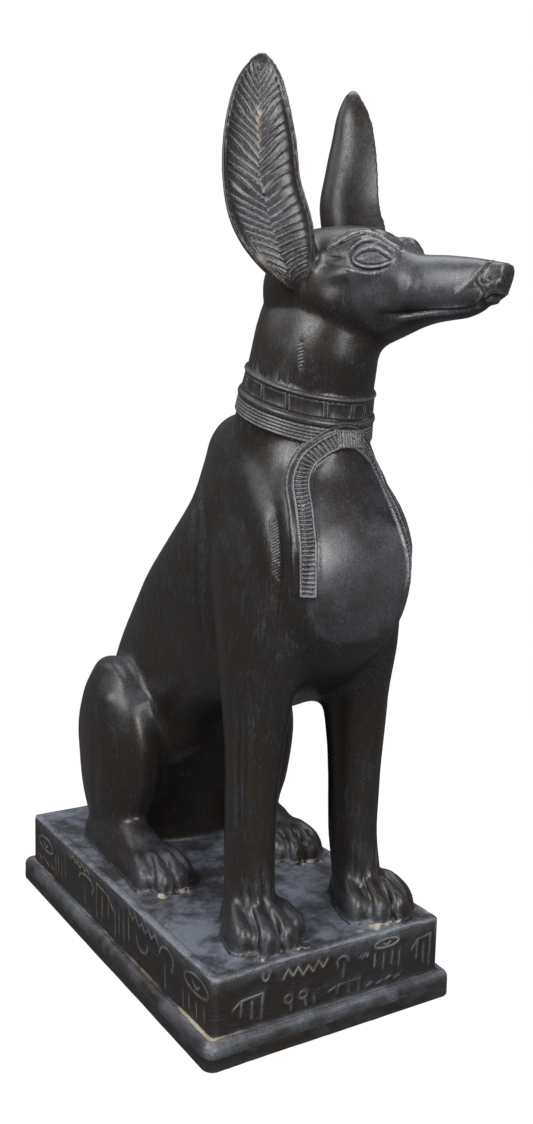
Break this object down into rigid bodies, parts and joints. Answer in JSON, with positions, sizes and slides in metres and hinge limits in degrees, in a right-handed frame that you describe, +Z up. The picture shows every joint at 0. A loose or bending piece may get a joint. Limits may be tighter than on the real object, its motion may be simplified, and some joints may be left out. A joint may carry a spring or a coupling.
{
  "type": "seated jackal figure",
  "caption": "Seated ancient Egyptian jackal figure with tall pricked ears and a collar, head turned to its left, cast in one piece with its stepped rectangular plinth.",
  "frame": {"origin": "centre of the plinth's flat underside", "axes": "+Z up, -Y the way the jackal's body faces, -X its right side"},
  "size_m": [0.189, 0.3866, 0.6],
  "materials": {
    "dark_cast": "satin, brown-black, with a blue-grey haze on the high places and cream deposits in the hollows"
  },
  "bodies": {
    "root": {"jackal_on_plinth": "dark_cast"}
  },
  "joints": []
}
